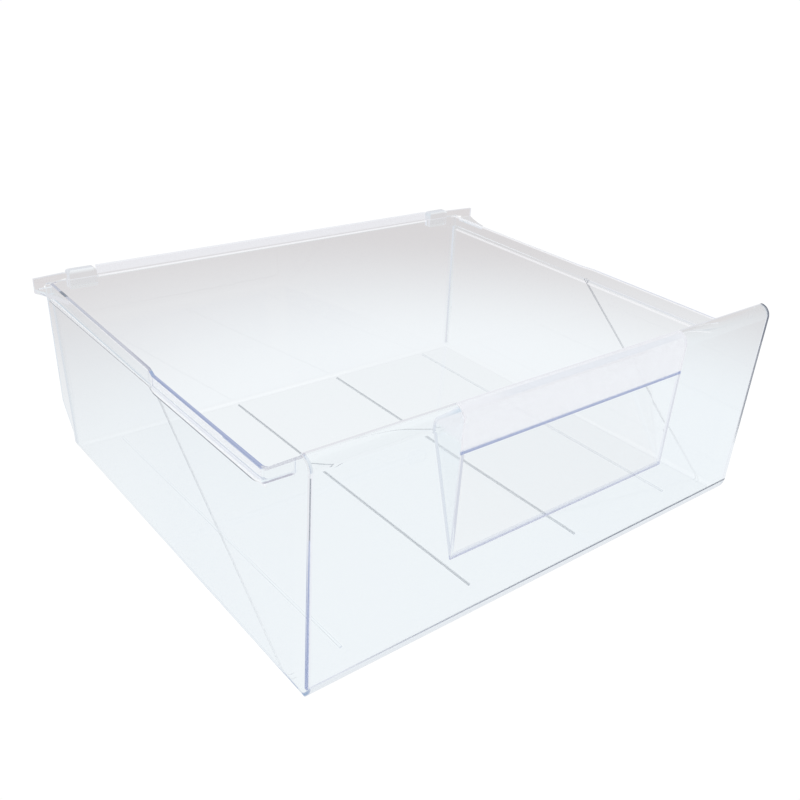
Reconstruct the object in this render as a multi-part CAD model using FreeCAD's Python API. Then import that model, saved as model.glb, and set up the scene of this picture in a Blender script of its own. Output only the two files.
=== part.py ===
"""Clear freezer drawer: a tapered tub, a front panel with a grip, and two rear stops.

Millimetres, +Z up, +X to the right as seen from the front, +Y towards the back.
The parts are drawn with the front face of the panel at Y = 0, the middle of the
drawer at X = 0 and the ground at Z = 0. They are moved back to the middle of the
footprint when they are written.
"""

import FreeCAD, Part
import math
import os

from FreeCAD import Vector

# Wall thicknesses
wall = 2.5
pocket_wall = 2.2

# Front panel
panel_width = 449.0
panel_top = 180.5
panel_bottom = 14.0
flange_radius = 9.5

# Tub: half widths are outside sizes
floor_half_front = 223.5
floor_half_rear = 218.5
ledge_half_front = 224.2
floor_rear_y = 377.5
rim_rear_y = 387.3
rim_height = 152.5
ledge_drop = 11.0
front_bend_radius = 13.0
bend_bite = 0.05
floor_edge_radius = 6.0
inner_corner_radius = 5.0

# The diagonal crease of each side wall, from the floor to the ledge
crease_floor_y = 22.0
crease_ledge_y = 194.0

# Rim band and the ledge under it
band_thickness = 2.4
band_half_front = 226.8
band_half_kink = 224.3
band_half_rear = 221.2
kink_start_y = 188.0
kink_length = 12.0
ledge_half_rear = 224.5
sweep_start_y = 46.0
sweep_corner_radius = 16.0
band_front_y = 15.0
band_fade_length = 30.0
band_fade_step = 0.3
band_overlap = 3.0

# Back wall with its wings and raised strip
wing_half = 224.0
wing_bend_z = 48.0
wing_foot_half = 217.5
strip_rise = 8.0
strip_top_radius = 1.1

# Runners under the floor
runner_x = (58.9, 176.7)
runner_front_y = 32.0
runner_rear_y = 370.0
runner_width = 1.8
runner_height = 1.2

# Grip: an opening in the panel with a strip over it and a pocket behind
grip_half = 112.4
grip_bottom = 67.0
strip_bottom = 147.5
pocket_slope = 2.95
pocket_knee_z = 149.0
pocket_depth = 29.4
pocket_back_z = 158.0
pocket_roof_angle = 35.7
pocket_corner_radius = 7.0
cheek_draft = 2.0
strip_edge_radius = 0.9

# Rear stops: a saddle on the back wall, an ear past the side rim and a brace along the rim
saddle_gap = 2.5
saddle_length = 23.0
saddle_side_gap = 13.3
saddle_front = 3.6
saddle_back = 3.2
saddle_drop = 7.0
saddle_rise = 8.5
saddle_radius = 3.0
slot_clearance = 0.15
ear_thickness = 2.5
ear_reach = 14.8
ear_hook_reach = 6.3
ear_sweep = 11.3
ear_root_rise = 4.5
ear_tip_rise = 8.5
ear_tip_drop = 3.5
ear_lift = 0.3
brace_length = 34.0
brace_gap = 0.5
brace_tip_width = 0.9
brace_bend = (7.0, 12.0)

# Sizes that follow from the ones above
floor_z = runner_height
ledge_height = rim_height - ledge_drop
strip_top = rim_height + strip_rise
strip_half = band_half_rear - band_thickness - saddle_side_gap - saddle_length - saddle_gap
ear_tip_half = band_half_rear + ear_reach
ear_hook_half = band_half_rear + ear_hook_reach
ear_tip_y = rim_rear_y - ear_sweep

# Farther than any part of the drawer, for tools that cut right through it
reach = 600.0


def polygon(points):
    """A closed face through the points."""
    return Part.Face(Part.makePolygon(list(points) + [points[0]]))


def centred_box(half, y_low, y_high, z_low, z_high):
    """A box that reaches equally far to both sides of the middle."""
    return Part.makeBox(
        2 * half, y_high - y_low, z_high - z_low, Vector(-half, y_low, z_low))


def side_prism(outline, half):
    """A closed outline in Y and Z, drawn out to both sides of the middle."""
    face = polygon([Vector(-half, y, z) for y, z in outline])
    return face.extrude(Vector(2 * half, 0, 0))


def plan_prism(outline, z_low, z_high):
    """A closed outline in X and Y, drawn upwards."""
    face = polygon([Vector(x, y, z_low) for x, y in outline])
    return face.extrude(Vector(0, 0, z_high - z_low))


def mirrored(outline):
    """The outline of the other side."""
    return [(-x, y) for x, y in outline]


def both_sides(outline, z_low, z_high):
    """The same plan outline on the right and on the left."""
    right = plan_prism(outline, z_low, z_high)
    return right.fuse(plan_prism(mirrored(outline), z_low, z_high))


def front_half(z):
    """Half width of the front part of a side wall, which leans out a little."""
    return floor_half_front + (ledge_half_front - floor_half_front) * z / ledge_height


def crease_y(z):
    """Place of the diagonal crease at a height."""
    return crease_floor_y + (crease_ledge_y - crease_floor_y) * z / ledge_height


def rear_half(y, z):
    """Half width behind the crease, where the side wall is a flat that leans in."""
    lean = (floor_half_front - floor_half_rear) / (floor_rear_y - crease_floor_y)
    return front_half(z) - lean * (y - crease_y(z))


def back_y(z):
    """Outside of the back wall, which leans back."""
    return floor_rear_y + (rim_rear_y - floor_rear_y) * z / rim_height


def outline_at(z, inset, half_at, front, back):
    """Outline at one height between two depths, with half widths from a rule."""
    right = [(half_at(front, z) - inset, front), (half_at(back, z) - inset, back)]
    left = [(-x, y) for x, y in reversed(right)]
    return Part.makePolygon([Vector(x, y, z) for x, y in right + left + right[:1]])


def edges_between(shape, test):
    """The straight edges of a shape whose two ends both pass a test."""
    found = []
    for edge in shape.Edges:
        ends = [v.Point for v in edge.Vertexes]
        if len(ends) == 2 and test(ends[0], ends[1]):
            found.append(edge)
    return found


def floor_edges(block, low):
    """Edges round the floor of a block, without the front one."""
    found = []
    for edge in block.Edges:
        box = edge.BoundBox
        along_side = box.YLength > box.XLength
        at_rear = box.YMin > floor_rear_y - front_bend_radius
        if box.ZMax < low + wall and (along_side or at_rear):
            found.append(edge)
    return found


def rear_block(inset, corner_radius):
    """The body between the leaning rear flats, rounded at the rear corners and the floor."""
    low = floor_z + inset
    outlines = [
        outline_at(z, inset, rear_half, inset, back_y(z) - inset) for z in (low, panel_top)]
    block = Part.makeLoft(outlines, True, True)
    if corner_radius > 0:
        block = block.makeFillet(corner_radius, edges_between(
            block, lambda a, b: min(a.y, b.y) > crease_ledge_y and abs(a.z - b.z) > rim_height / 2))
    return block.makeFillet(floor_edge_radius - inset, floor_edges(block, low))


def beyond_front_flat(side, inset):
    """Everything outside the front flat of one side wall."""
    outline = [
        (front_half(-wall) - inset, -wall),
        (front_half(reach) - inset, reach),
        (reach, reach),
        (reach, -wall),
    ]
    face = polygon([Vector(side * x, -wall, z) for x, z in outline])
    return face.extrude(Vector(0, reach, 0))


def hull(inset, corner_radius):
    """The drawer body as one block: leaning rear flats, front flats and the front bend."""
    low = floor_z + inset
    block = rear_block(inset, corner_radius)
    for side in (-1, 1):
        block = block.cut(beyond_front_flat(side, inset))
    return block.cut(front_bend(low, inset))


def front_bend(low, inset):
    """What the round bend takes off the body between the floor and the front lip.

    Its axis is a hair nearer the corner than the radius, so that it bites into both flats.
    """
    radius = front_bend_radius - inset
    axis_y = inset + radius - bend_bite
    axis_z = low + radius - bend_bite
    corner = centred_box(reach, -wall, axis_y, -wall, axis_z)
    round_part = Part.makeCylinder(
        radius, 2 * reach, Vector(-reach, axis_y, axis_z), Vector(1, 0, 0))
    return corner.cut(round_part)


def sweep_slope():
    """Rise of the side's top edge towards the panel, per millimetre."""
    return (panel_top - wall / 2 - rim_height) / (sweep_start_y - flange_radius)


def swept_line(height, shift):
    """Top edge of a side, from the back to the panel, with a round corner where it turns up."""
    turn = math.atan(sweep_slope())
    tangent = (sweep_corner_radius + shift) * math.tan(turn / 2)
    corner_y = sweep_start_y + shift * math.tan(turn / 2)
    centre = (corner_y + tangent, height + sweep_corner_radius + shift)
    steps = 6
    points = [(rim_rear_y + reach, height)]
    for i in range(steps + 1):
        angle = turn * i / steps
        radius = sweep_corner_radius + shift
        points.append((centre[0] - radius * math.sin(angle), centre[1] - radius * math.cos(angle)))
    last_y, last_z = points[-1]
    points.append((0.0, last_z + last_y * sweep_slope()))
    return points


def below_line(line, low):
    """Everything between a swept line and a lower height, as a Y and Z outline."""
    return line + [(0.0, low), (line[0][0], low)]


def skin_outline(z_low):
    """Section of the panel's skin: upright plate, bend and free flange edge."""
    inner = flange_radius - wall
    centre = Vector(0, flange_radius, panel_top - flange_radius)
    slant = math.sqrt(0.5)

    def at(radius, y_part, z_part):
        return centre + Vector(0, -radius * y_part, radius * z_part)

    outer_arc = Part.Arc(at(flange_radius, 1, 0), at(flange_radius, slant, slant), at(flange_radius, 0, 1))
    inner_arc = Part.Arc(at(inner, 0, 1), at(inner, slant, slant), at(inner, 1, 0))
    edges = [
        Part.makeLine(Vector(0, 0, z_low), at(flange_radius, 1, 0)),
        outer_arc.toShape(),
        Part.makeLine(at(flange_radius, 0, 1), at(inner, 0, 1)),
        inner_arc.toShape(),
        Part.makeLine(at(inner, 1, 0), Vector(0, wall, z_low)),
        Part.makeLine(Vector(0, wall, z_low), Vector(0, 0, z_low)),
    ]
    return Part.Wire(edges)


def skin(z_low, half):
    """A stretch of panel skin, centred on the drawer."""
    face = Part.Face(skin_outline(z_low))
    face.translate(Vector(-half, 0, 0))
    return face.extrude(Vector(2 * half, 0, 0))


def front_room():
    """The space in front of and under the panel's flange, which the sides keep out of."""
    room = centred_box(reach, 0.0, wall, panel_bottom, reach)
    under = Part.makeCylinder(
        flange_radius - wall, 2 * reach,
        Vector(-reach, flange_radius, panel_top - flange_radius), Vector(1, 0, 0))
    over = centred_box(reach, 0.0, flange_radius, panel_top - flange_radius, reach)
    return room.fuse(over.cut(under))


def kept_outline():
    """Room for the walls: up to the ledge, and higher only near the panel and at the back."""
    sides = side_prism(below_line(swept_line(ledge_height, ledge_drop), 0.0), reach)
    sweep = side_prism(below_line(swept_line(rim_height, 0.0), 0.0), reach)
    near_panel = centred_box(reach, 0.0, band_front_y + band_overlap, 0.0, reach)
    at_back = centred_box(reach, back_y(ledge_height) - wall, reach, 0.0, rim_height)
    return sides.fuse([sweep.common(near_panel), at_back])


def side_shells():
    """Floor, side walls and back wall, with the front open above a low lip."""
    shell = hull(0.0, 0.0).cut(hull(wall, inner_corner_radius))
    around = centred_box(reach, -wall, reach, -wall, reach)
    return shell.cut(around.cut(kept_outline())).cut(front_room())


def band_fade():
    """Plan points where the band leaves the side wall behind the panel and stands off it."""
    return [
        (front_half(ledge_height) + band_fade_step, band_front_y),
        (band_half_front, band_front_y + band_fade_length),
    ]


def band_outline(thickness):
    """Plan of the right rim band, from its outer line inwards by a thickness."""
    rear = back_y(rim_height) - wall / 2
    outer = band_fade() + [
        (band_half_front, kink_start_y),
        (band_half_kink, kink_start_y + kink_length),
        (band_half_rear, rear),
    ]
    return outer + [(x - thickness, y) for x, y in reversed(outer)]


def rim_band():
    """Upright band round both sides, a step outside the wall under it."""
    plan = both_sides(band_outline(band_thickness), 0.0, reach)
    upper = side_prism(below_line(swept_line(rim_height, 0.0), 0.0), reach)
    drop = ledge_drop + wall
    lower = side_prism(below_line(swept_line(rim_height - drop, drop), -reach), reach)
    return plan.common(upper).cut(lower)


def rim_ledge():
    """Flat ledge that joins each band to its wall and carries the drawer in its cabinet."""
    rear = back_y(ledge_height) - wall / 2
    inner_front = front_half(ledge_height) - wall
    inner_rear = rear_half(rear, ledge_height) - wall
    plan = band_fade() + [
        (band_half_front, kink_start_y),
        (ledge_half_rear, kink_start_y + kink_length),
        (ledge_half_rear, rear),
        (inner_rear, rear),
        (inner_front, crease_ledge_y),
        (inner_front, band_front_y),
    ]
    drop = ledge_drop + wall
    upper = side_prism(below_line(swept_line(ledge_height, ledge_drop), 0.0), reach)
    lower = side_prism(below_line(swept_line(ledge_height - wall, drop), -reach), reach)
    return both_sides(plan, 0.0, reach).common(upper).cut(lower)


def back_slab(grow):
    """The leaning slab that the back wall and its wings are cut from."""
    low, high = 0.0, rim_height
    def outline(z):
        rear = back_y(z) + grow
        front = back_y(z) - wall - grow
        corners = [(-reach, front), (reach, front), (reach, rear), (-reach, rear)]
        return Part.makePolygon([Vector(x, y, z) for x, y in corners + corners[:1]])
    return Part.makeLoft([outline(low), outline(high)], True, True)


def back_wings():
    """Back wall carried out past the sides, cut away towards the floor."""
    foot_z = floor_z + floor_edge_radius
    right = [(wing_foot_half, foot_z), (wing_half, wing_bend_z), (wing_half, rim_height)]
    left = [(-x, z) for x, z in reversed(right)]
    face = polygon([Vector(x, 0, z) for x, z in right + left])
    return face.extrude(Vector(0, reach, 0)).common(back_slab(0.0))


def back_strip():
    """Raised strip along the middle of the back, a step behind the wall."""
    rear = rim_rear_y + wall
    ledge = centred_box(strip_half, rear - 2 * wall, rear, rim_height - wall, rim_height)
    strip = centred_box(strip_half, rear - wall, rear, rim_height - wall, strip_top)

    def is_top_long_edge(a, b):
        return min(a.z, b.z) > strip_top - wall and abs(a.x - b.x) > strip_half

    strip = strip.makeFillet(strip_top_radius, edges_between(strip, is_top_long_edge))
    return ledge.fuse(strip)


def runner(x):
    """One of the ribs under the floor that the drawer stands and slides on."""
    return Part.makeBox(
        runner_width, runner_rear_y - runner_front_y, runner_height + wall / 2,
        Vector(x - runner_width / 2, runner_front_y, 0))


def tub():
    """Floor, sides, back, rim and runners, moulded as one."""
    body = side_shells()
    runners = [runner(side * x) for x in runner_x for side in (-1, 1)]
    for piece in [rim_band(), rim_ledge(), back_wings(), back_strip()] + runners:
        body = body.fuse(piece)
    return body.removeSplitter()


def grip_window():
    """The notch in the panel that the grip fills."""
    return centred_box(grip_half, -wall, reach, grip_bottom, reach)


def front_panel():
    """Upright front plate with its bent top flange, notched for the grip."""
    return skin(panel_bottom, panel_width / 2).cut(grip_window())


def grip_strip():
    """Bridge over the finger opening, in line with the panel's skin."""
    strip = skin(strip_bottom, grip_half)

    def is_lower_long_edge(a, b):
        return max(a.z, b.z) < strip_bottom + strip_edge_radius and abs(a.x - b.x) > grip_half

    return strip.makeFillet(strip_edge_radius, edges_between(strip, is_lower_long_edge))


def pocket_line(inset):
    """Section of the pocket as a closed wire, moved forwards by the inset."""
    slope = math.atan(pocket_slope)
    roof = math.radians(pocket_roof_angle)
    lean = math.atan2(pocket_back_z - pocket_knee_z, pocket_depth - knee_y())
    foot = (pocket_wall / math.sin(slope) - inset / math.sin(slope), grip_bottom)
    knee = (knee_y() + (pocket_wall - inset) / math.sin(slope), pocket_knee_z)
    rise = pocket_back_z - pocket_knee_z
    corner = (knee[0] + rise / math.tan(lean), pocket_back_z + (pocket_wall - inset) / math.cos(roof))
    top = (0.0, corner[1] + corner[0] * math.tan(roof))
    points = [(0.0, grip_bottom), foot, knee, corner, top]
    return points


def knee_y():
    """Depth of the pocket's front surface where its slope steepens."""
    return (pocket_knee_z - grip_bottom) / pocket_slope


def pocket_block(inset):
    """The pocket's outer form, or with the inset its hollow."""
    outline = [Vector(-reach, y, z) for y, z in pocket_line(inset)]
    if inset > 0:
        outline[0].z = grip_bottom
    block = polygon(outline).extrude(Vector(2 * reach, 0, 0))
    corner = outline[3]

    def is_top_corner(a, b):
        return abs(a.y - corner.y) + abs(a.z - corner.z) + abs(b.y - corner.y) < wall

    radius = pocket_corner_radius + pocket_wall - inset
    block = block.makeFillet(radius, edges_between(block, is_top_corner))
    half = grip_half - inset
    deep = pocket_depth + 2 * pocket_wall
    right = [(half, -wall), (half, wall), (half - cheek_draft, deep)]
    left = [(-x, y) for x, y in reversed(right)]
    return block.common(plan_prism(right + left, 0.0, reach))


def finger_pocket():
    """Sloping pocket with two cheeks, open to the front under the strip."""
    behind_strip = centred_box(reach, -reach, reach, strip_bottom, reach)
    skin_room = front_room().common(behind_strip)
    return pocket_block(0.0).cut(pocket_block(pocket_wall)).cut(skin_room)


def saddle(inner):
    """Rounded block that straddles the back wall's edge."""
    block = Part.makeBox(
        saddle_length, saddle_front + wall + saddle_back, saddle_drop + saddle_rise,
        Vector(inner, back_y(rim_height) - wall - saddle_front, rim_height - saddle_drop))

    def is_top_edge(a, b):
        return min(a.z, b.z) > rim_height + saddle_rise - wall

    return block.makeFillet(saddle_radius, edges_between(block, is_top_edge))


def ear(root):
    """Plate from the saddle out past the rim, with a tip that hangs below the rim's top."""
    mid_y = back_y(rim_height) + saddle_back - ear_thickness
    plan = [
        (root - wall, mid_y),
        (root + wall, mid_y),
        (ear_tip_half, ear_tip_y),
        (ear_tip_half, ear_tip_y + ear_thickness),
        (root + wall, mid_y + ear_thickness),
        (root - wall, mid_y + ear_thickness),
    ]
    face_points = [
        (root - wall, rim_height + ear_lift),
        (ear_hook_half, rim_height + ear_lift),
        (ear_hook_half, rim_height - ear_tip_drop),
        (ear_tip_half, rim_height - ear_tip_drop),
        (ear_tip_half, rim_height + ear_tip_rise),
        (root - wall, rim_height + ear_root_rise),
    ]
    profile = polygon([Vector(x, 0, z) for x, z in face_points]).extrude(Vector(0, reach, 0))
    return plan_prism(plan, 0.0, reach).common(profile)


def brace():
    """Hollow-curved gusset from the ear's tip forwards along the outside of the rim."""
    front_y = ear_tip_y - brace_length
    lean = (band_half_kink - band_half_rear) / (rim_rear_y - kink_start_y - kink_length)

    def beside_band(y):
        return band_half_rear + lean * (rim_rear_y - y) + brace_gap

    start = (ear_tip_half, ear_tip_y)
    bend = (ear_tip_half - brace_bend[0], ear_tip_y - brace_bend[1])
    end = (beside_band(front_y) + brace_tip_width, front_y)
    steps = 6
    curve = []
    for i in range(steps + 1):
        t = i / steps
        shares = ((1 - t) ** 2, 2 * t * (1 - t), t ** 2)
        curve.append(tuple(
            sum(share * point[axis] for share, point in zip(shares, (start, bend, end)))
            for axis in (0, 1)))
    root_y = ear_tip_y + ear_thickness / 2
    plan = [(ear_tip_half, root_y)] + curve
    plan += [(beside_band(front_y), front_y), (beside_band(root_y), root_y)]
    return plan_prism(plan, rim_height - ear_tip_drop, rim_height)


def rear_stop(side):
    """Stop that sits on the back wall's edge, with a braced ear past the side rim."""
    inner = strip_half + saddle_gap
    stop = saddle(inner).fuse(ear(inner + saddle_length)).fuse(brace())
    stop = stop.cut(back_slab(slot_clearance)).removeSplitter()
    if side < 0:
        stop = stop.mirror(Vector(0, 0, 0), Vector(1, 0, 0))
    return stop


def footprint_shift():
    """Move from the front face to the middle of the footprint."""
    return Vector(0, -(rim_rear_y + saddle_back) / 2, 0)


def write(name, shape):
    """One closed solid to its own file, in the drawer's frame."""
    placed = shape.copy()
    placed.translate(footprint_shift())
    solids = placed.Solids
    if len(solids) == 1:
        placed = solids[0]
    placed.exportStep(os.path.join("parts", name + ".step"))
    print(name, len(solids), placed.isValid(), round(placed.Volume), placed.BoundBox)


def main():
    os.makedirs("parts", exist_ok=True)
    write("tub", tub())
    write("front_panel", front_panel())
    write("grip_strip", grip_strip())
    write("finger_pocket", finger_pocket())
    write("stop_right", rear_stop(1))
    write("stop_left", rear_stop(-1))


main()
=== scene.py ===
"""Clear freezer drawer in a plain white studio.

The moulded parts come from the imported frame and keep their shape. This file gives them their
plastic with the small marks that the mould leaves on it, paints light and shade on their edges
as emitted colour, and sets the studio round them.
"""

import math

import bpy
from bpy.props import FloatProperty, FloatVectorProperty, PointerProperty
from mathutils import Euler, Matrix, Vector


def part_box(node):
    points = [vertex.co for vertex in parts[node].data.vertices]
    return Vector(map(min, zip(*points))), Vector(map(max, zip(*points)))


bl_info = {
    "name": "Clear freezer drawer",
    "version": (1, 0, 0),
    "blender": (4, 5, 0),
    "location": "3D View > Sidebar > Drawer",
    "description": "Finishes a clear moulded freezer drawer and sets its studio",
    "category": "Object",
}

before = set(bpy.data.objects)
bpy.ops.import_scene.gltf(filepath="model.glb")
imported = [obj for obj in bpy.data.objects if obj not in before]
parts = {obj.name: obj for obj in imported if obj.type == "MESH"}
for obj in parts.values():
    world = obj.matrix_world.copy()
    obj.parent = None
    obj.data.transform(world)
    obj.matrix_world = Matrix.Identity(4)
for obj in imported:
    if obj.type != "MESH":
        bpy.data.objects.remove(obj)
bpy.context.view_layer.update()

# Limits that reach past the drawer on both sides, and a fade too narrow to see
FAR = 1.0
WHOLE = (-FAR, FAR)
SHARP = 0.0001
HARD = (SHARP, SHARP, SHARP)

# Places on the tub that the painted light and shade on its edges follow, in metres, with x to the right,
# y to the back and z up. A pair is a low and a high limit.
SIDES = (0.215, FAR)
LEFT = (-FAR, -0.215)
LEFT_WALL = (-FAR, -0.2243)
LEFT_BAND = (-FAR, -0.2262)
BACK_MIDDLE = (-0.18, 0.18)
RIM_TOP = 0.1525
LEDGE_FOOT = 0.139
# Heights of a painted pale glow and a painted highlight on the left band, and depths of a painted dark
# line on the left rim
PAINTED_GLOW_BAND = (0.147, RIM_TOP)
PAINTED_HIGHLIGHT_BAND = (0.1398, 0.1450)
PAINTED_SHADE_MARK = (0.155, 0.168)
FRONT_LIP = (0.003, 0.012)
INNER_RIB, OUTER_RIB = 0.0589, 0.1767
RIB_FEET = (0.0, 0.0003)

# Distances in from the front or the back of the tub
SWEEP_DEPTH = 0.047
PAINTED_GLOW_LENGTH = 0.045
LIP_DEPTH = 0.003
PALE_FRONT = 0.0195
BACK_WALL = 0.004
INNER_BACK_EDGE = (0.0065, 0.0045)
REAR_CORNER = 0.01

# Straight painted shade lines on the side walls: both ends, each as a depth and a height
CREASE = ((-0.17325, 0.0), (-0.00125, 0.1415))
RIM_SWEEP = ((-0.14925, RIM_TOP), (-0.18575, 0.1792))
LEDGE_SWEEP = ((-0.14485, LEDGE_FOOT), (-0.17725, 0.1628))

# Places on the front panel and the pocket. The painted shade and painted glow on its ends start or stop
# at heights, and the painted shade on its foot darkens towards the right.
FLANGE_BEND = 0.0115
PAINTED_SHADE_END, FADING_END = 0.15, 0.08
PAINTED_GLOW_END = 0.03
PAINTED_SHADE_FOOT = 0.15
PALE_RIGHT, PALE_TOP = 0.2, 0.14
POCKET_ROOF = 0.158
POCKET_CORNER = 0.028

# Where the back starts, for light that is trapped in the plastic
PALE_BACK = 0.06

# Widths over which zones fade out: upwards, across and, at the back, towards the front
UP_FADE, PAINTED_GLOW_FADE, PALE_FADE, BAND_FADE = 0.03, 0.10, 0.05, 0.002
FOOT_FADE = 0.35
BACK_FADE = 0.09
CORNER_FADE = (0.02, SHARP, 0.004)

# Kinds of painted light and shade, the first also standing for frost, each laid over those before it, and
# the least share at which one shows its colour
PAINTED_LOOKS = ("mist", "bright", "painted_grey_shade", "line", "glow")
LEAST_SHARE = 0.02

# Length in which the plastic passes its stated share of light, and the part of that tint
# that the palest plastic lacks
TINT_LENGTH = 0.1
PALE_LOSS = 0.6

FLOOR_SIZE = 8.0
FLOOR_DROP = 0.0003
CLIP_START = 0.01

# Soft boxes: name, place, aim, width and height, and power in watts
SOFT_BOXES = (
    ("over", (0.0, 0.1, 1.6), (0.0, 0.0, 0.0), (2.2, 1.8), 4.0),
    ("left", (-1.6, 0.4, 0.9), (0.0, 0.0, 0.1), (1.2, 1.2), 2.0),
)


class DrawerPlastic(bpy.types.PropertyGroup):
    """Colours and optics of the moulded plastic.

    The painted light and shade on edges, and the frost of misty stretches, are emitted colours whose
    alpha is their share in the clear plastic.
    """

    passes: FloatVectorProperty(
        name="Light passed by 100 mm",
        description="Share of red, green and blue left after 100 mm inside the plastic",
        default=(0.34, 0.62, 0.80), size=3, min=0.0, max=1.0)
    ior: FloatProperty(
        name="Refractive index", description="Bending power of the plastic", default=1.5,
        min=1.0, max=2.0)
    wave_scale: FloatProperty(
        name="Wave scale", description="How close together the gentle waves of the surface lie",
        default=22.0, min=0.0)
    wave_height: FloatProperty(
        name="Wave height", description="Height of the gentle waves of the surface",
        default=0.0006, min=0.0, unit="LENGTH")
    wave_strength: FloatProperty(
        name="Wave strength", description="How much of the waves shows", default=0.04, min=0.0,
        max=1.0, subtype="FACTOR")
    haze: FloatProperty(
        name="Haze", description="Roughness of the most worn places", default=0.05, min=0.0,
        max=1.0, subtype="FACTOR")
    trapped: FloatVectorProperty(
        name="Trapped light", description="What an edge shows where light never finds a way out",
        default=(0.26, 0.31, 0.52), subtype="COLOR", size=3, min=0.0, max=1.0)
    trapped_far: FloatVectorProperty(
        name="Trapped light at the back",
        description="The same at the back, where the edges pick up the pale room",
        default=(0.75, 0.73, 0.76), subtype="COLOR", size=3, min=0.0, max=1.0)
    spent: FloatVectorProperty(
        name="Spent light", description="What shows where light has crossed too many walls",
        default=(0.85, 0.88, 0.93), subtype="COLOR", size=3, min=0.0, max=1.0)
    bounces: FloatProperty(
        name="Bounces inside", description="Reflections inside a wall after which light is trapped",
        default=1.5, min=0.5, max=3.5)
    surfaces: FloatProperty(
        name="Surfaces met", description="Surfaces that light meets before it is spent",
        default=10.5, min=0.5)
    # Painted glow: an emitted blue that stands in for light piped to broad cut edges
    glow: FloatVectorProperty(
        name="Glowing edge", description="Broad cut edge that light is piped to",
        default=(0.31, 0.37, 0.60, 0.70), subtype="COLOR", size=4, min=0.0, max=1.0)
    # Painted shade: a dark emitted line along sharp moulded edges
    line: FloatVectorProperty(
        name="Sharp edge", description="Sharp moulded edge that looks dark",
        default=(0.15, 0.17, 0.22, 0.75), subtype="COLOR", size=4, min=0.0, max=1.0)
    # Painted shade: a soft grey emitted line along rounded edges
    painted_grey_shade: FloatVectorProperty(
        name="Soft edge", description="Rounded edge with a soft grey line",
        default=(0.42, 0.41, 0.51, 0.5), subtype="COLOR", size=4, min=0.0, max=1.0)
    # Painted highlight: a near-white emitted line along edges, standing in for the light they catch
    bright: FloatVectorProperty(
        name="Bright edge", description="Polished edge that catches the light",
        default=(0.97, 0.97, 1.0, 0.75), subtype="COLOR", size=4, min=0.0, max=1.0)
    # Frost with a painted glow: a finely grained, less clear stretch whose pale haze is an emitted colour
    mist: FloatVectorProperty(
        name="Misty stretch", description="Finely grained stretch that is a little less clear",
        default=(0.87, 0.88, 0.925, 0.45), subtype="COLOR", size=4, min=0.0, max=1.0)
    # Width of the painted strips of light and shade along edges
    edge_width: FloatProperty(
        name="Edge width", description="Width of the strip along an edge that shows its finish",
        default=0.0012, unit="LENGTH")
    shadow: FloatVectorProperty(
        name="Shadow tint", description="Share of a lamp's light that one surface lets through",
        default=(0.955, 0.96, 0.97), subtype="COLOR", size=3, min=0.0, max=1.0)


class DrawerStudio(bpy.types.PropertyGroup):
    """Floor, surroundings and camera."""

    # Painted light on the floor seen through the plastic: a pool of light near the drawer that falls off
    # to painted shade far behind
    near: FloatVectorProperty(
        name="Floor near the drawer", description="Brightness of the floor seen through the plastic",
        default=(0.925, 0.945, 0.965), size=3, min=0.0, max=2.0)
    far: FloatVectorProperty(
        name="Floor far behind", description="Brightness that the floor falls to away from the drawer",
        default=(0.715, 0.685, 0.69), size=3, min=0.0, max=2.0)
    middle: FloatVectorProperty(
        name="Brightest place", description="Where the floor is brightest",
        default=(0.06, -0.10, 0.0), size=3, subtype="TRANSLATION", unit="LENGTH")
    fade_start: FloatProperty(
        name="Fade start", description="Distance from the brightest place where the floor starts to fall",
        default=0.30, unit="LENGTH")
    fade_end: FloatProperty(
        name="Fade end", description="Distance from the brightest place where the fall ends",
        default=0.75, unit="LENGTH")
    white: FloatProperty(
        name="White", description="Brightness of the floor and surroundings to the camera",
        default=1.02, min=0.0, max=2.0)
    sky: FloatVectorProperty(
        name="Surroundings", description="Their brightness in reflections, low down and overhead",
        default=(0.72, 0.97), size=2, min=0.0, max=2.0)
    sky_heights: FloatVectorProperty(
        name="Heights of the surroundings",
        description="Upward share of a direction where they start and end to brighten",
        default=(0.1, 0.95), size=2, min=-1.0, max=1.0)
    camera_place: FloatVectorProperty(
        name="Camera place", description="Where the camera stands",
        default=(-0.4654, -0.5493, 0.4396), size=3, subtype="TRANSLATION", unit="LENGTH")
    camera_turn: FloatVectorProperty(
        name="Camera turn", description="How the camera is turned",
        default=(math.radians(60.546), math.radians(-4.434), math.radians(-40.054)),
        size=3, subtype="EULER", unit="ROTATION")
    camera_lens: FloatProperty(name="Lens", description="Focal length in millimetres", default=41.94)
    camera_shift: FloatVectorProperty(
        name="Shift", description="Sideways and upward shift of the frame",
        default=(-0.0372, 0.0466), size=2)


def add_node(tree, kind, **values):
    """A shader node with its settings, and with its inputs' plain values by name or number."""
    made = tree.nodes.new(kind)
    inputs = values.pop("inputs", {})
    for name, value in values.items():
        setattr(made, name, value)
    for name, value in inputs.items():
        if isinstance(value, bpy.types.NodeSocket):
            tree.links.new(value, made.inputs[name])
        else:
            made.inputs[name].default_value = value
    return made


def math_node(tree, operation, first, second=0.0, clamp=False):
    """The result of one sum on two numbers or sockets."""
    return add_node(tree, "ShaderNodeMath", operation=operation, use_clamp=clamp, inputs={
        0: first, 1: second}).outputs[0]


def vector_node(tree, operation, first, second):
    """The result of one sum on two vectors or sockets."""
    return add_node(tree, "ShaderNodeVectorMath", operation=operation, inputs={
        0: first, 1: second}).outputs["Vector"]


def map_range(tree, value, before, after=(0.0, 1.0), kind="LINEAR"):
    """A value brought from one range to another and held at its ends."""
    return add_node(tree, "ShaderNodeMapRange", interpolation_type=kind, inputs={
        "Value": value, "From Min": before[0], "From Max": before[1],
        "To Min": after[0], "To Max": after[1]}).outputs[0]


def mix_number(tree, share, first, second):
    """A number between two numbers or sockets."""
    return add_node(tree, "ShaderNodeMix", data_type="FLOAT", inputs={
        0: share, 2: first, 3: second}).outputs[0]


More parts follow.
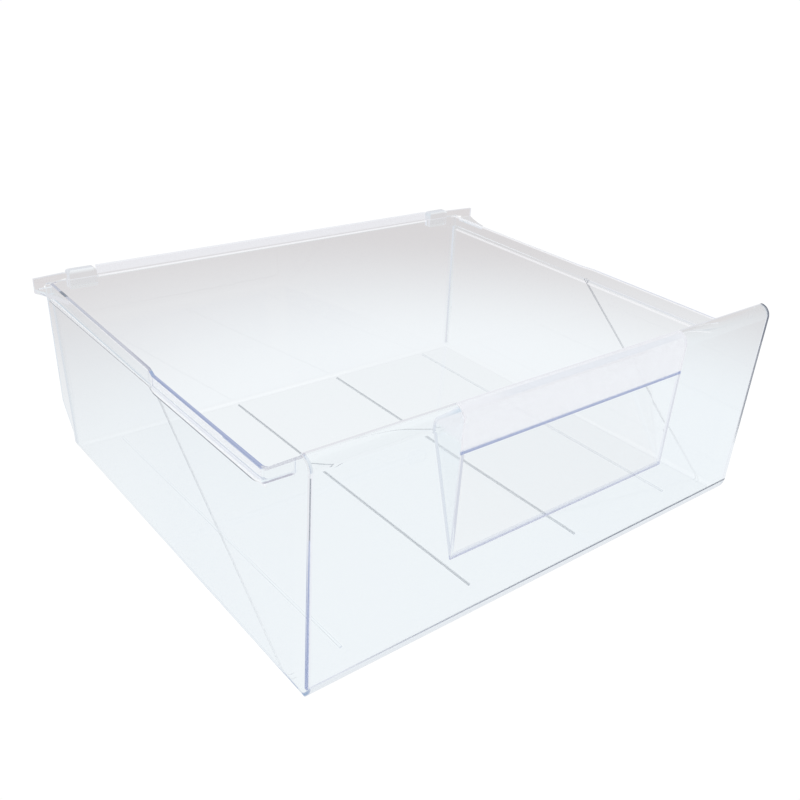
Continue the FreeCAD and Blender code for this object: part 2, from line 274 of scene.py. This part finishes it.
def mix_colour(tree, share, first, second):
    """A colour between two colours or sockets."""
    return add_node(tree, "ShaderNodeMix", data_type="RGBA", inputs={
        0: share, 6: first, 7: second}).outputs[2]


def mix_shader(tree, share, first, second):
    """A shader between two shaders."""
    return add_node(tree, "ShaderNodeMixShader", inputs={
        0: share, 1: first, 2: second}).outputs[0]


def emission(tree, colour):
    """A surface that shows a colour as it is."""
    return add_node(tree, "ShaderNodeEmission", inputs={"Color": colour}).outputs[0]


def separate(tree, vector):
    """The X, Y and Z of a vector."""
    return add_node(tree, "ShaderNodeSeparateXYZ", inputs={0: vector}).outputs


def rgba(colour):
    """A colour with full alpha."""
    return (*colour, 1.0)


def empty_tree(holder):
    """The node tree of a material or of the world, with nothing in it."""
    holder.use_nodes = True
    holder.node_tree.nodes.clear()
    return holder.node_tree


def moulded_surface():
    """Group: what the polished mould leaves on a surface, as a height and a roughness."""
    name = "Moulded surface"
    if name in bpy.data.node_groups:
        return bpy.data.node_groups[name]
    tree = bpy.data.node_groups.new(name, "ShaderNodeTree")
    for socket in ("Wave Scale", "Haze"):
        tree.interface.new_socket(socket, in_out="INPUT", socket_type="NodeSocketFloat")
    for socket in ("Height", "Roughness"):
        tree.interface.new_socket(socket, in_out="OUTPUT", socket_type="NodeSocketFloat")
    given = add_node(tree, "NodeGroupInput").outputs
    place = add_node(tree, "ShaderNodeTexCoord").outputs["Object"]
    wave = add_node(tree, "ShaderNodeTexNoise", inputs={
        "Vector": place, "Scale": given["Wave Scale"], "Detail": 2.0}).outputs[0]
    wear = add_node(tree, "ShaderNodeTexNoise", inputs={
        "Vector": place, "Scale": 38.0, "Detail": 6.0, "Roughness": 0.65}).outputs[0]
    rough = map_range(tree, wear, (0.35, 0.75), (0.0, given["Haze"]))
    add_node(tree, "NodeGroupOutput", inputs={"Height": wave, "Roughness": rough})
    return tree


def box_mask():
    """Group: 1 inside a box, given by its low and high corners, and a fade to 0 outside it."""
    name = "Box mask"
    if name in bpy.data.node_groups:
        return bpy.data.node_groups[name]
    tree = bpy.data.node_groups.new(name, "ShaderNodeTree")
    for socket in ("Place", "Low", "High", "Soft"):
        tree.interface.new_socket(socket, in_out="INPUT", socket_type="NodeSocketVector")
    tree.interface.new_socket("Mask", in_out="OUTPUT", socket_type="NodeSocketFloat")
    given = add_node(tree, "NodeGroupInput").outputs
    above = vector_node(tree, "SUBTRACT", given["Place"], given["Low"])
    below = vector_node(tree, "SUBTRACT", given["High"], given["Place"])
    depth = vector_node(tree, "DIVIDE", vector_node(tree, "MINIMUM", above, below), given["Soft"])
    fade = vector_node(tree, "ADD", depth, (1.0, 1.0, 1.0))
    fade = vector_node(tree, "MINIMUM", fade, (1.0, 1.0, 1.0))
    axes = separate(tree, vector_node(tree, "MAXIMUM", fade, (0.0, 0.0, 0.0)))
    both = math_node(tree, "MULTIPLY", axes["X"], axes["Y"])
    mask = math_node(tree, "MULTIPLY", both, axes["Z"])
    add_node(tree, "NodeGroupOutput", inputs={"Mask": mask})
    return tree


def zone(x=WHOLE, y=WHOLE, z=WHOLE, soft=HARD, share=1.0, mirrored=True):
    """Box on the drawer, on both sides if mirrored, with the widths over which it fades out."""
    low, high = zip(x, y, z)
    return {"low": low, "high": high, "soft": soft, "share": share, "mirrored": mirrored}


def stroke(start, end, width, faint=1.0, **limits):
    """Straight painted shade line on a side wall between two places in depth and height."""
    box = zone(z=(start[1], end[1]), **limits)
    return {**box, "line": (start, end, width, faint)}


def line_strength(tree, place, start, end, width, faint):
    """Mask of a straight line, which grows from its faint start to its end."""
    slope = (end[0] - start[0]) / (end[1] - start[1])
    along = separate(tree, place)
    run = add_node(tree, "ShaderNodeMath", operation="MULTIPLY_ADD", inputs={
        0: along["Z"], 1: slope, 2: start[0] - slope * start[1]}).outputs[0]
    away = math_node(tree, "ABSOLUTE", math_node(tree, "SUBTRACT", along["Y"], run))
    near = math_node(tree, "LESS_THAN", away, width / 2 * math.hypot(1.0, slope))
    growth = map_range(tree, along["Z"], (start[1], end[1]), (faint, 1.0))
    return math_node(tree, "MULTIPLY", near, growth)


def two_places(tree):
    """The place on the drawer, and the same place brought to the right-hand side."""
    where = add_node(tree, "ShaderNodeTexCoord").outputs["Object"]
    axes = separate(tree, where)
    folded = add_node(tree, "ShaderNodeCombineXYZ", inputs={
        0: math_node(tree, "ABSOLUTE", axes["X"]), 1: axes["Y"], 2: axes["Z"]}).outputs[0]
    return where, folded


def strength(tree, where, folded, shape):
    """Mask of one zone or stroke."""
    place = folded if shape["mirrored"] else where
    mask = add_node(tree, "ShaderNodeGroup", node_tree=box_mask(), inputs={
        "Place": place, "Low": shape["low"], "High": shape["high"], "Soft": shape["soft"]}).outputs[0]
    if "line" in shape:
        mask = math_node(tree, "MULTIPLY", mask, line_strength(tree, place, *shape["line"]))
    return math_node(tree, "MULTIPLY", mask, shape["share"])


def whole_strength(tree, shapes, least=0.0):
    """Mask of several shapes together, never under the least."""
    where, folded = two_places(tree)
    whole = least
    for shape in shapes:
        whole = math_node(tree, "MAXIMUM", strength(tree, where, folded, shape), whole)
    return whole


def gathered(*areas):
    """The painted marks of several areas together, by kind."""
    return {painted_look: [shape for marks in areas for shape in marks.get(painted_look, ())]
            for painted_look in PAINTED_LOOKS}


def painted_edge_light(tree, marks, base_share):
    """Colour and share of the painted light and shade that the marks lay over the clear plastic, with the
    frost of misty stretches.
    """
    plastic = bpy.context.scene.drawer_plastic
    colour, share = rgba(plastic.mist[:3]), base_share
    for painted_look in PAINTED_LOOKS:
        if not marks.get(painted_look):
            continue
        whole = whole_strength(tree, marks[painted_look])
        wanted = getattr(plastic, painted_look)
        shown = math_node(tree, "GREATER_THAN", whole, LEAST_SHARE)
        colour = mix_colour(tree, shown, colour, rgba(wanted[:3]))
        share = mix_number(tree, whole, share, wanted[3])
    return colour, share


def tinted_glass(tree, path, paleness):
    """Glass that bends light and takes its blue from the way that light runs inside it."""
    plastic = bpy.context.scene.drawer_plastic
    surface = add_node(tree, "ShaderNodeGroup", node_tree=moulded_surface(), inputs={
        "Wave Scale": plastic.wave_scale, "Haze": plastic.haze}).outputs
    bump = add_node(tree, "ShaderNodeBump", inputs={
        "Strength": plastic.wave_strength, "Distance": plastic.wave_height,
        "Height": surface["Height"]}).outputs[0]
    leaving = add_node(tree, "ShaderNodeNewGeometry").outputs["Backfacing"]
    inside = math_node(tree, "MULTIPLY", path["Ray Length"], leaving)
    inside = math_node(tree, "MULTIPLY", inside, (1.0 - PALE_LOSS * paleness) / TINT_LENGTH)
    tint = add_node(tree, "ShaderNodeCombineColor")
    for i, share in enumerate(plastic.passes):
        tree.links.new(math_node(tree, "POWER", share, inside), tint.inputs[i])
    return add_node(tree, "ShaderNodeBsdfGlass", inputs={
        "Color": tint.outputs[0], "Roughness": surface["Roughness"], "IOR": plastic.ior,
        "Normal": bump}).outputs[0]


def trapped_light(tree, path, pale, paleness):
    """What a ray shows when it has bounced too long inside: blue in front, pale at the back."""
    plastic = bpy.context.scene.drawer_plastic
    back = zone(y=(PALE_BACK, FAR), soft=(SHARP, BACK_FADE, SHARP))
    far = whole_strength(tree, [back, *pale], paleness)
    trapped = mix_colour(tree, far, rgba(plastic.trapped), rgba(plastic.trapped_far))
    straight = math_node(tree, "DIVIDE", path["Transmission Depth"], path["Ray Depth"], clamp=True)
    return emission(tree, mix_colour(tree, straight, trapped, rgba(plastic.spent)))


def clear_plastic(name, marks=None, pale=(), paleness=0.0, base_share=0.0):
    """Clear moulded plastic with its marks, which paint light and shade on its edges as emitted colour.

    The zones in pale stay free of the blue of trapped light, paleness weakens the blue
    everywhere, and base_share is the share of frost with a painted pale glow all over.
    """
    plastic = bpy.context.scene.drawer_plastic
    material = bpy.data.materials.new(name)
    tree = empty_tree(material)
    path = add_node(tree, "ShaderNodeLightPath").outputs
    body = tinted_glass(tree, path, paleness)
    if marks or base_share:
        # Painted light and shade: emitted colours laid over the glass at the marks' share
        colour, share = painted_edge_light(tree, marks or {}, base_share)
        body = mix_shader(tree, share, body, emission(tree, colour))
    late = math_node(
        tree, "MAXIMUM", math_node(tree, "GREATER_THAN", path["Ray Depth"], plastic.surfaces),
        math_node(tree, "GREATER_THAN", path["Glossy Depth"], plastic.bounces))
    body = mix_shader(tree, late, body, trapped_light(tree, path, pale, paleness))
    open_way = add_node(tree, "ShaderNodeBsdfTransparent", inputs={
        "Color": rgba(plastic.shadow)}).outputs[0]
    whole = mix_shader(tree, path["Is Shadow Ray"], body, open_way)
    add_node(tree, "ShaderNodeOutputMaterial", inputs={"Surface": whole})
    return material


def dress(node_name, material):
    """Gives a moulded part its material."""
    data = parts[node_name].data
    data.materials.clear()
    data.materials.append(material)


def rim_marks(low, high, width):
    """Rim: a painted glow in front, painted grey shade behind with one painted dark line, a painted
    highlight inside, and a painted pale glow on top at the back.
    """
    straight = low.y + SWEEP_DEPTH
    back = high.y - BACK_WALL
    inner = (RIM_TOP - width, RIM_TOP + width / 4)
    outer = (RIM_TOP - width / 3, FAR)
    back_edge = tuple(high.y - depth for depth in INNER_BACK_EDGE)
    return {
        "mist": [zone(y=(back, FAR), z=(RIM_TOP + width / 4, FAR), share=1.4)],
        "bright": [
            zone(x=SIDES, y=(straight, back), z=inner, share=0.6),
            zone(x=BACK_MIDDLE, y=back_edge, z=inner),
        ],
        "painted_grey_shade": [
            zone(x=LEFT, y=(0.0, back), z=outer, mirrored=False),
            stroke(*RIM_SWEEP, 3 * width, x=LEFT, share=0.45, mirrored=False),
        ],
        "line": [zone(x=LEFT, y=PAINTED_SHADE_MARK, z=outer, mirrored=False)],
        "glow": [
            zone(x=LEFT, y=(straight, 0.0), z=(RIM_TOP - width / 2, RIM_TOP + width / 8),
                 mirrored=False),
            zone(x=LEFT, y=(straight, straight + PAINTED_GLOW_LENGTH), z=(RIM_TOP - width, RIM_TOP),
                 mirrored=False),
        ],
    }


def ledge_marks(low, high, width):
    """Ledge and the band over it: a painted dark line along its foot, painted highlights inside, a
    painted pale glow on the upper band and a painted grey line along its sweep.
    """
    length = (low.y + SWEEP_DEPTH, high.y - REAR_CORNER)
    foot = (LEDGE_FOOT - width / 4, LEDGE_FOOT + width / 2)
    return {
        "mist": [
            zone(x=LEFT_BAND, y=length, z=PAINTED_GLOW_BAND, soft=(SHARP, SHARP, BAND_FADE),
                 mirrored=False),
        ],
        "bright": [
            zone(x=SIDES, y=length, z=(LEDGE_FOOT - width, LEDGE_FOOT), share=0.6),
            zone(x=LEFT_BAND, y=length, z=PAINTED_HIGHLIGHT_BAND, share=0.7, mirrored=False),
        ],
        "painted_grey_shade": [stroke(*LEDGE_SWEEP, width, x=LEFT, mirrored=False)],
        "line": [zone(x=LEFT_WALL, y=length, z=foot, share=0.85, mirrored=False)],
    }


def rib_strip(middle, width):
    """The narrow strip under a rib where a painted shade line shows its edge."""
    return (middle - 0.45 * width, middle + 0.45 * width)


def floor_marks(low, width):
    """Floor and walls: painted shade lines along the ribs, the lip under the front panel and the creases.
    """
    return {
        "painted_grey_shade": [
            zone(x=rib_strip(OUTER_RIB, width), z=RIB_FEET, share=0.5, mirrored=False),
            zone(y=(-FAR, low.y + LIP_DEPTH), z=FRONT_LIP, share=0.15),
        ],
        "line": [
            zone(x=rib_strip(INNER_RIB, width), z=RIB_FEET),
            stroke(*CREASE, width / 2, faint=0.2, x=SIDES),
        ],
    }


class DRAWER_OT_tub(bpy.types.Operator):
    """Clear plastic on the tub, with the painted glow of its rim and the painted shade lines and
    highlights of its rim, ledge and ribs.
    """

    bl_idname = "drawer.tub"
    bl_label = "Finish the tub"

    def execute(self, context):
        width = context.scene.drawer_plastic.edge_width
        low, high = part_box("tub")
        marks = gathered(
            rim_marks(low, high, width), ledge_marks(low, high, width), floor_marks(low, width))
        pale = [zone(y=(-FAR, low.y + PALE_FRONT))]
        dress("tub", clear_plastic("tub plastic", marks, pale=pale))
        return {"FINISHED"}


class DRAWER_OT_stops(bpy.types.Operator):
    """Pale clear plastic on the two rear stops."""

    bl_idname = "drawer.stops"
    bl_label = "Finish the rear stops"

    def execute(self, context):
        material = clear_plastic("stop plastic", paleness=1.0)
        for name in ("stop_right", "stop_left"):
            dress(name, material)
        return {"FINISHED"}


def panel_marks(low, high, width):
    """Front panel: painted shade on its right end, front corner and foot, and a painted glow low on the
    left end.
    """
    right_end = (high.x - width, FAR)
    left_end = (-FAR, low.x + 0.8 * width)
    left_corner = (-FAR, low.x + 0.4 * width)
    return {
        "line": [
            zone(x=right_end, z=(PAINTED_SHADE_END, FAR), mirrored=False),
            zone(x=right_end, z=(FADING_END, FAR), soft=(SHARP, SHARP, UP_FADE), share=0.6,
                 mirrored=False),
            zone(x=left_corner, y=(-FAR, low.y + 0.5 * width), z=(low.z, high.z - FLANGE_BEND),
                 share=0.8, mirrored=False),
            zone(x=(PAINTED_SHADE_FOOT, FAR), z=(-FAR, low.z + 0.5 * width), soft=(FOOT_FADE, SHARP, SHARP),
                 share=0.8, mirrored=False),
        ],
        "glow": [
            zone(x=left_end, z=(low.z, PAINTED_GLOW_END), soft=(SHARP, SHARP, PAINTED_GLOW_FADE),
                 mirrored=False),
        ],
    }


class DRAWER_OT_front(bpy.types.Operator):
    """Clear plastic on the front panel, with painted shade and a painted glow on its cut edges."""

    bl_idname = "drawer.front"
    bl_label = "Finish the front panel"

    def execute(self, context):
        width = context.scene.drawer_plastic.edge_width
        low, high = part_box("front_panel")
        pale = [
            zone(z=(high.z - FLANGE_BEND, FAR)),
            zone(x=(PALE_RIGHT, FAR), mirrored=False),
            zone(z=(PALE_TOP, FAR), soft=(SHARP, SHARP, PALE_FADE)),
        ]
        marks = panel_marks(low, high, width)
        dress("front_panel", clear_plastic("front plastic", marks, pale=pale))
        return {"FINISHED"}


class DRAWER_OT_pocket(bpy.types.Operator):
    """Clear plastic on the finger pocket, with a painted pale glow at its upper left corner and a painted
    glow along its foot.
    """

    bl_idname = "drawer.pocket"
    bl_label = "Finish the finger pocket"

    def execute(self, context):
        width = context.scene.drawer_plastic.edge_width
        low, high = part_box("finger_pocket")
        corner = zone(
            x=(-FAR, low.x + POCKET_CORNER), z=(POCKET_ROOF, FAR), soft=CORNER_FADE,
            mirrored=False)
        marks = {"mist": [corner], "glow": [zone(z=(-FAR, low.z + 2 * width), share=0.2)]}
        dress("finger_pocket", clear_plastic("pocket plastic", marks, paleness=0.7))
        return {"FINISHED"}


class DRAWER_OT_grip(bpy.types.Operator):
    """Frosted plastic on the strip over the grip, its haze an emitted pale glow, with a painted glow
    along its lower edge.
    """

    bl_idname = "drawer.grip"
    bl_label = "Finish the grip strip"

    def execute(self, context):
        width = context.scene.drawer_plastic.edge_width
        low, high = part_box("grip_strip")
        marks = {"glow": [
            zone(z=(-FAR, low.z + 2.2 * width), share=0.22),
            zone(z=(-FAR, low.z + 0.6 * width), share=0.45),
        ]}
        dress("grip_strip", clear_plastic("misty strip", marks, paleness=0.7, base_share=0.45))
        return {"FINISHED"}


def studio_floor(studio):
    """Plain pale floor: white to the camera, and through the plastic a painted pool of light that falls
    off to painted grey shade.
    """
    bpy.ops.mesh.primitive_plane_add(size=FLOOR_SIZE, location=(0.0, 0.0, -FLOOR_DROP))
    floor = bpy.context.object
    floor.name = "studio_floor"
    material = bpy.data.materials.new("studio floor")
    tree = empty_tree(material)
    path = add_node(tree, "ShaderNodeLightPath").outputs
    place = add_node(tree, "ShaderNodeTexCoord").outputs["Object"]
    away = add_node(tree, "ShaderNodeVectorMath", operation="DISTANCE", inputs={
        0: place, 1: studio.middle}).outputs["Value"]
    # Painted pool of light round the brightest place, which falls off to painted shade far away
    fall = map_range(tree, away, (studio.fade_start, studio.fade_end), kind="SMOOTHSTEP")
    painted_light_pool = mix_colour(tree, fall, rgba(studio.near), rgba(studio.far))
    white = rgba([studio.white] * 3)
    glow = emission(tree, mix_colour(tree, path["Is Camera Ray"], painted_light_pool, white))
    add_node(tree, "ShaderNodeOutputMaterial", inputs={"Surface": glow})
    floor.data.materials.append(material)


def studio_world(studio):
    """Surroundings: white to the camera, soft greys by height in reflections."""
    world = bpy.data.worlds.new("studio")
    bpy.context.scene.world = world
    tree = empty_tree(world)
    path = add_node(tree, "ShaderNodeLightPath").outputs
    way = add_node(tree, "ShaderNodeTexCoord").outputs["Generated"]
    height = separate(tree, way)["Z"]
    grey = map_range(tree, height, studio.sky_heights, studio.sky, kind="SMOOTHSTEP")
    seen = mix_number(tree, path["Is Camera Ray"], grey, studio.white)
    glow = add_node(tree, "ShaderNodeBackground", inputs={
        "Color": (1.0, 1.0, 1.0, 1.0), "Strength": seen}).outputs[0]
    add_node(tree, "ShaderNodeOutputWorld", inputs={"Surface": glow})


def soft_box(name, place, aim, size, power):
    """An area light that looks at a point."""
    light = bpy.data.lights.new(name, "AREA")
    light.shape = "RECTANGLE"
    light.size, light.size_y = size
    light.energy = power
    holder = bpy.data.objects.new(name, light)
    bpy.context.scene.collection.objects.link(holder)
    holder.location = place
    holder.rotation_euler = (Vector(aim) - Vector(place)).to_track_quat("-Z", "Y").to_euler()


def studio_camera(studio):
    """Camera that looks down at the drawer from its front left."""
    camera = bpy.data.objects.new("camera", bpy.data.cameras.new("camera"))
    bpy.context.scene.collection.objects.link(camera)
    camera.location = studio.camera_place
    camera.rotation_euler = Euler(studio.camera_turn)
    camera.data.lens = studio.camera_lens
    camera.data.shift_x, camera.data.shift_y = studio.camera_shift
    camera.data.clip_start = CLIP_START
    bpy.context.scene.camera = camera


class DRAWER_OT_stage(bpy.types.Operator):
    """Floor, surroundings, soft lights and camera."""

    bl_idname = "drawer.stage"
    bl_label = "Set the studio"

    def execute(self, context):
        studio = context.scene.drawer_studio
        studio_floor(studio)
        studio_world(studio)
        for box in SOFT_BOXES:
            soft_box(*box)
        studio_camera(studio)
        context.scene.view_settings.view_transform = "Standard"
        return {"FINISHED"}


class DRAWER_PT_panel(bpy.types.Panel):
    """Buttons for each piece of the drawer and its studio."""

    bl_idname = "DRAWER_PT_panel"
    bl_label = "Freezer drawer"
    bl_space_type = "VIEW_3D"
    bl_region_type = "UI"
    bl_category = "Drawer"

    def draw(self, context):
        for kind in OPERATORS:
            self.layout.operator(kind.bl_idname)


OPERATORS = (
    DRAWER_OT_tub, DRAWER_OT_stops, DRAWER_OT_front, DRAWER_OT_pocket, DRAWER_OT_grip,
    DRAWER_OT_stage)
GROUPS = {"drawer_plastic": DrawerPlastic, "drawer_studio": DrawerStudio}


def register():
    """Adds the settings, operators and panel."""
    for name, kind in GROUPS.items():
        bpy.utils.register_class(kind)
        setattr(bpy.types.Scene, name, PointerProperty(type=kind))
    for kind in (*OPERATORS, DRAWER_PT_panel):
        bpy.utils.register_class(kind)


def unregister():
    """Takes them away again, in the opposite order."""
    for kind in (DRAWER_PT_panel, *reversed(OPERATORS)):
        bpy.utils.unregister_class(kind)
    for name, kind in reversed(GROUPS.items()):
        delattr(bpy.types.Scene, name)
        bpy.utils.unregister_class(kind)


def main():
    """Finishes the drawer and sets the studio."""
    register()
    bpy.ops.drawer.tub()
    bpy.ops.drawer.stops()
    bpy.ops.drawer.front()
    bpy.ops.drawer.pocket()
    bpy.ops.drawer.grip()
    bpy.ops.drawer.stage()


if __name__ == "__main__":
    main()
